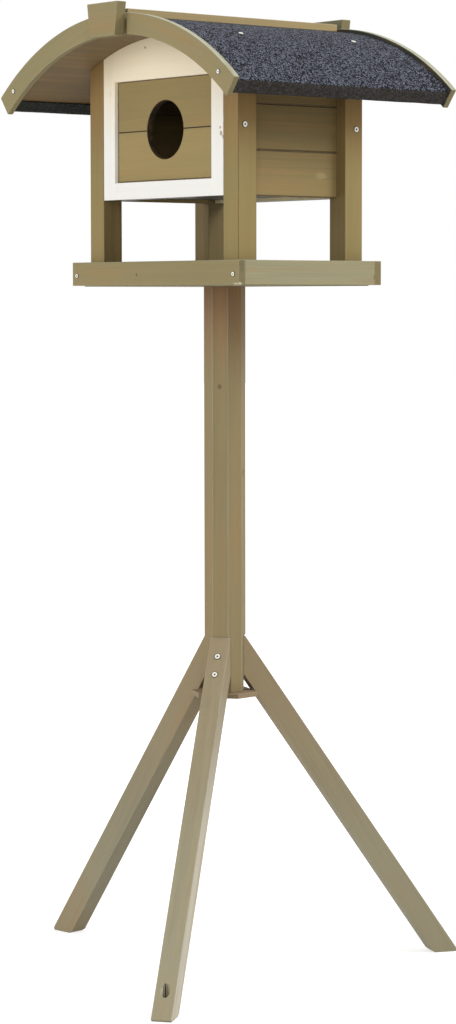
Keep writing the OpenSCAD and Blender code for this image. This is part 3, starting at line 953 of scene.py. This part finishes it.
class FEEDER_OT_felt(Operator):
    """Lay the felt over the roof and turn it under both eaves"""
    bl_idname = "feeder.felt"
    bl_label = "Roofing Felt"

    def execute(self, context):
        settings = context.scene.feeder_roof
        line, centre = felt_line(settings)
        low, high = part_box("roof_felt")
        rows = 96
        bpy.ops.object.select_all(action="DESELECT")
        bpy.ops.mesh.primitive_grid_add(x_subdivisions=len(line) - 1, y_subdivisions=rows, size=1)
        felt = context.object
        felt.name = "roofing_felt_sheet"
        for vertex in felt.data.vertices:
            across = round((vertex.co.x + 0.5) * (len(line) - 1))
            point = line[across]
            share = vertex.co.y + 0.5
            vertex.co = (point.x, low.y + share * (high.y - low.y), centre + point.y)
        apply_modifier(
            felt, "SOLIDIFY", "Felt thickness", thickness=settings.felt_thickness, offset=0,
            use_even_offset=True)
        waves = bpy.data.textures.new("Felt waves", "CLOUDS")
        waves.noise_scale = settings.wave_length
        apply_modifier(
            felt, "DISPLACE", "Felt waves", texture=waves, strength=settings.wave_depth, mid_level=0.62)
        bpy.ops.object.shade_smooth_by_angle(angle=math.radians(40))
        finish_piece(felt, mineral_felt("Mineral felt"), "roofing_felt", "roof_felt")
        return {"FINISHED"}


def ring_of(vertices, radius):
    """The vertices that lie at a radius from the Z axis."""
    return [vertex for vertex in vertices if abs(vertex.co.xy.length - radius) < 0.05 * MM]


def screw_head(settings):
    """One pan head on the Z axis, with a rounded rim and a cross recess."""
    radius, height = settings.screw_radius, settings.screw_height
    rim, collar, recess = 0.3 * height, 0.12 * radius, 0.44 * radius
    dish, recess_depth = 0.12 * height, 0.55 * height
    arm_half_angle, notch = 16, 0.62
    bpy.ops.object.select_all(action="DESELECT")
    bpy.ops.mesh.primitive_cylinder_add(
        vertices=32, radius=radius, depth=height, location=(0, 0, height / 2))
    head = bpy.context.object
    bpy.ops.object.transform_apply(location=True, rotation=True, scale=True)
    choose_faces(head, lambda centre, normal: normal.z > 0.9)
    bpy.ops.mesh.bevel(offset=rim, segments=3, affect="EDGES")
    choose_faces(head, lambda centre, normal: normal.z > 0.999)
    bpy.ops.mesh.inset(thickness=collar)
    bpy.ops.mesh.inset(thickness=radius - rim - collar - recess, depth=-dish)
    bpy.ops.object.mode_set(mode="OBJECT")
    for vertex in ring_of(head.data.vertices, recess):
        turn = math.degrees(math.atan2(vertex.co.y, vertex.co.x)) % 90
        if arm_half_angle < turn < 90 - arm_half_angle:
            vertex.co.xy *= notch
    choose_faces(head, lambda centre, normal: normal.z > 0.999 and centre.xy.length < 0.05 * radius)
    bpy.ops.mesh.extrude_region_move(TRANSFORM_OT_translate={"value": (0, 0, -recess_depth)})
    bpy.ops.transform.resize(value=(0.7, 0.7, 1), center_override=(0, 0, 0))
    bpy.ops.object.mode_set(mode="OBJECT")
    head.data.materials.append(bpy.data.materials["Screw coating"])
    head.data.materials.append(bpy.data.materials["Screw steel and shade"])
    # The recess and the head's side wall take the dark material: painted shade in the recess, painted shadow
    # round the rim.
    for face in head.data.polygons:
        inside_shade = face.center.xy.length < 0.9 * recess and face.center.z < 0.86 * height
        rim_shadow = face.center.xy.length > 0.85 * radius
        face.material_index = int(inside_shade or rim_shadow)
    bpy.ops.object.shade_smooth_by_angle(angle=math.radians(35))
    return head


def clout_nail(radius):
    """One low domed nail head on the Z axis."""
    rim_height, dome_rise = 0.3 * radius, 0.06 * radius
    bpy.ops.object.select_all(action="DESELECT")
    bpy.ops.mesh.primitive_cylinder_add(
        vertices=24, radius=radius, depth=rim_height, location=(0, 0, rim_height / 2))
    nail = bpy.context.object
    bpy.ops.object.transform_apply(location=True, rotation=True, scale=True)
    for share in (0.16, 0.28, 0.3):
        choose_faces(nail, lambda centre, normal: normal.z > 0.999 and centre.xy.length < 0.05 * radius)
        bpy.ops.mesh.inset(thickness=share * radius, depth=dome_rise)
    bpy.ops.object.mode_set(mode="OBJECT")
    nail.data.materials.append(bpy.data.materials["Screw coating"])
    bpy.ops.object.shade_smooth_by_angle(angle=math.radians(50))
    return nail


def facing(point, axis, roll):
    """The move that sets a piece made on the Z axis down on a point, facing along an axis."""
    turn = UP.rotation_difference(Vector(axis)).to_matrix().to_4x4()
    return Matrix.Translation(point) @ turn @ Matrix.Rotation(roll, 4, "Z")


def set_down(model, name, moves):
    """Copies a model to each place and joins the copies into one piece."""
    copies = []
    for move in moves:
        one = bpy.data.objects.new(name, model.data.copy())
        one.data.transform(move)
        bpy.context.scene.collection.objects.link(one)
        copies.append(one)
    pick(*copies)
    bpy.ops.object.join()
    joined = bpy.context.object
    joined.name = name
    return joined


def screw_seats(node):
    """Where each screw head of a CAD node sits, the way that it faces and its radius."""
    outline = copy_of(node, "outline")
    pick(outline)
    bpy.ops.object.mode_set(mode="EDIT")
    bpy.ops.mesh.separate(type="LOOSE")
    bpy.ops.object.mode_set(mode="OBJECT")
    seats = []
    for part in list(bpy.context.selected_objects):
        base = max(part.data.polygons, key=lambda face: face.area)
        seats.append((base.center.copy(), -base.normal, math.sqrt(base.area / math.pi)))
        bpy.data.objects.remove(part)
    return seats


class FEEDER_OT_fixings(Operator):
    """Make the screw heads and the felt nails"""
    bl_idname = "feeder.fixings"
    bl_label = "Screws and Nails"

    def execute(self, context):
        settings = context.scene.feeder_fixings
        roof = context.scene.feeder_roof
        coated_steel("Screw coating", settings.coating, settings.coating_scuff)
        coated_steel("Screw steel and shade", settings.steel_and_shade, settings.steel_scuff)
        rolls = random.Random(4)
        quarter_turn = 1.57
        head = screw_head(settings)
        for node in ("leg_screws", "tray_screws", "house_screws"):
            moves = []
            for place, axis, radius in screw_seats(node):
                share = radius / settings.screw_radius
                narrow = Matrix.Diagonal((share, share, 1, 1))
                moves.append(facing(place, axis, rolls.uniform(0, quarter_turn)) @ narrow)
            finish_piece(set_down(head, f"{node}_heads", moves), None, "screw_heads", node)
        bpy.data.objects.remove(head)
        nail = clout_nail(settings.nail_radius)
        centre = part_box("roof_felt")[1].z - roof.felt_radius
        sink = 0.3 * MM
        moves = []
        for x, y in NAIL_PLACES:
            lean = math.asin(x * MM / roof.felt_radius)
            axis = Vector((math.sin(lean), 0, math.cos(lean)))
            point = axis * (roof.felt_radius - sink) + Vector((0, y * MM, centre))
            moves.append(facing(point, axis, 0))
        finish_piece(set_down(nail, "felt_nails", moves), None, "screw_heads")
        bpy.data.objects.remove(nail)
        return {"FINISHED"}


# ---- the stage ----

def seen_directly(wires):
    """One for rays that show the background itself, and nothing for the light on the object."""
    rays = wires.add("ShaderNodeLightPath").outputs
    direct = wires.math("MAXIMUM", rays["Is Camera Ray"], rays["Is Glossy Ray"])
    return wires.math("MAXIMUM", direct, rays["Is Transmission Ray"])


def soft_lamp(name, place, aim, size, power):
    """A square lamp that points at a place on the object."""
    bpy.ops.object.light_add(type="AREA", location=place)
    lamp = bpy.context.object
    lamp.name = name
    lamp.data.size = size
    lamp.data.energy = power
    lamp.rotation_euler = (Vector(aim) - Vector(place)).to_track_quat("-Z", "Y").to_euler()


class FEEDER_OT_stage(Operator):
    """Set up the floor, the white background, the lamps and the camera"""
    bl_idname = "feeder.stage"
    bl_label = "Stage"

    def execute(self, context):
        settings = context.scene.feeder_stage
        bpy.ops.object.select_all(action="DESELECT")
        bpy.ops.mesh.primitive_plane_add(size=settings.floor_size)
        floor = context.object
        floor.name = "floor"
        material, wires, shader, coordinates = new_material("Floor")
        pale_grey = (0.6, 0.6, 0.6)
        wires.feed(shader["Base Color"], pale_grey)
        wires.feed(shader["Roughness"], 0.9)
        shader["Emission Color"].default_value = (1, 1, 1, 1)
        distance = wires.vector("LENGTH", coordinates["Object"])
        glow_start, glow_full, faint_glow = 0.5, 1.3, 0.62
        glow = wires.span(distance, glow_start, glow_full, faint_glow, 1.0)
        wires.feed(shader["Emission Strength"], wires.times(seen_directly(wires), glow))
        floor.data.materials.append(material)

        world = bpy.data.worlds.new("White studio")
        world.use_nodes = True
        context.scene.world = world
        world.node_tree.nodes.clear()
        wires = Wiring(world.node_tree)
        sky = wires.add("ShaderNodeBackground")
        wires.feed(sky.inputs["Color"], (1, 1, 1))
        wires.feed(
            sky.inputs["Strength"], wires.span(seen_directly(wires), 0.0, 1.0, settings.sky, 1.0))
        shown = wires.add("ShaderNodeOutputWorld")
        wires.tree.links.new(sky.outputs[0], shown.inputs["Surface"])

        for lamp in LAMPS:
            soft_lamp(*lamp)

        bpy.ops.object.camera_add()
        camera = context.object
        heading, tilt, roll = settings.camera_heading, settings.camera_tilt, settings.camera_roll
        forward = Vector((
            -math.sin(heading) * math.cos(tilt), math.cos(heading) * math.cos(tilt), math.sin(tilt)))
        right = Vector((math.cos(heading), math.sin(heading), 0))
        above = right.cross(forward)
        across = right * math.cos(roll) + above * math.sin(roll)
        upright = above * math.cos(roll) - right * math.sin(roll)
        turn = Matrix((across, upright, -forward)).transposed().to_4x4()
        camera.matrix_world = Matrix.Translation(settings.camera_place) @ turn
        camera.data.lens = settings.camera_lens
        camera.data.sensor_width = 36
        camera.data.clip_end = 100
        context.scene.camera = camera
        context.scene.view_settings.view_transform = "Standard"
        return {"FINISHED"}


class FEEDER_PT_panel(Panel):
    """Lists the steps that finish the bird feeder"""
    bl_label = "Bird Feeder"
    bl_idname = "FEEDER_PT_panel"
    bl_space_type = "VIEW_3D"
    bl_region_type = "UI"
    bl_category = "Bird Feeder"

    def draw(self, context):
        for step in STEPS:
            self.layout.operator(step.bl_idname)
        for name, kind in SETTINGS.items():
            box = self.layout.box()
            box.label(text=kind.__doc__)
            for key in kind.__annotations__:
                box.prop(getattr(context.scene, name), key)


SETTINGS = {
    "feeder_timber": FeederTimber,
    "feeder_tones": FeederTones,
    "feeder_paint": FeederPaint,
    "feeder_roof": FeederRoof,
    "feeder_fixings": FeederFixings,
    "feeder_stage": FeederStage,
}
STEPS = (
    FEEDER_OT_stage, FEEDER_OT_stand, FEEDER_OT_tray, FEEDER_OT_corner_posts, FEEDER_OT_gable_frames,
    FEEDER_OT_house_boards, FEEDER_OT_roof_trim, FEEDER_OT_felt, FEEDER_OT_fixings,
)


def register():
    for kind in (*SETTINGS.values(), *STEPS, FEEDER_PT_panel):
        bpy.utils.register_class(kind)
    for name, kind in SETTINGS.items():
        setattr(bpy.types.Scene, name, PointerProperty(type=kind))


def unregister():
    for name in SETTINGS:
        delattr(bpy.types.Scene, name)
    for kind in reversed((*SETTINGS.values(), *STEPS, FEEDER_PT_panel)):
        bpy.utils.unregister_class(kind)


def main():
    """Runs every step."""
    register()
    for step in STEPS:
        group, action = step.bl_idname.split(".")
        getattr(getattr(bpy.ops, group), action)()


if __name__ == "__main__":
    main()
